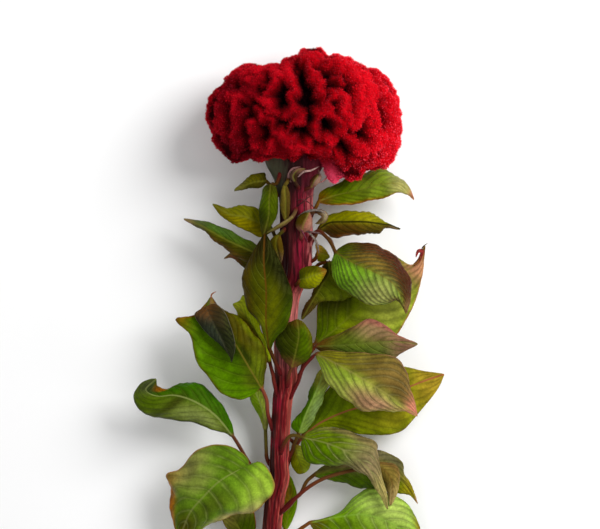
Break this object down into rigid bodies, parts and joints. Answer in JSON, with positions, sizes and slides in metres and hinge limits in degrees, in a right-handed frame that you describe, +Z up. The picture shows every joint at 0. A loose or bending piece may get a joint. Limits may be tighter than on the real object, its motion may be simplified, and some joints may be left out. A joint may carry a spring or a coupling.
{
  "type": "cut cockscomb celosia",
  "caption": "Cut cockscomb celosia lying down: a broad crest of folded crimson velvet on a fluted dark red stem with long pointed green leaves on thin stalks.",
  "frame": {"origin": "middle of the flat spot under the crest, on the surface that the stem lies on", "axes": "+Y along the stem from its cut end to the crest, +X to the right seen from above, +Z up"},
  "size_m": [0.2019, 0.3767, 0.0767],
  "materials": {
    "crest_velvet": "deep velvet",
    "stem_red": "smooth fresh stem",
    "leaf_green": "satin leaf",
    "bract_brown": "matt dry bract"
  },
  "bodies": {
    "root": {"crest": "crest_velvet", "stem": "stem_red", "leaf_left_01": "leaf_green", "leaf_left_02": "leaf_green", "leaf_left_03": "leaf_green", "leaf_left_04": "leaf_green", "leaf_left_05": "leaf_green", "leaf_left_06": "leaf_green", "leaf_left_07": "leaf_green", "leaf_left_08": "leaf_green", "leaf_left_09": "leaf_green", "leaf_left_10": "leaf_green", "leaf_left_11": "leaf_green", "leaf_left_12": "leaf_green", "leaf_right_01": "leaf_green", "leaf_right_02": "leaf_green", "leaf_right_03": "leaf_green", "leaf_right_04": "leaf_green", "leaf_right_05": "leaf_green", "leaf_right_06": "leaf_green", "leaf_right_07": "leaf_green", "leaf_right_08": "leaf_green", "leaf_right_09": "leaf_green", "leaf_right_10": "leaf_green", "leaf_right_11": "leaf_green", "leaf_right_12": "leaf_green", "leaf_right_13": "leaf_green", "leaf_right_14": "leaf_green", "leaf_right_15": "leaf_green", "leaf_right_16": "leaf_green", "leaf_right_17": "leaf_green", "leaf_right_18": "leaf_green", "bract_01": "bract_brown", "bract_02": "bract_brown", "bract_03": "bract_brown", "bract_04": "bract_brown", "bract_05": "bract_brown", "bract_06": "bract_brown", "bract_07": "bract_brown"}
  },
  "joints": []
}
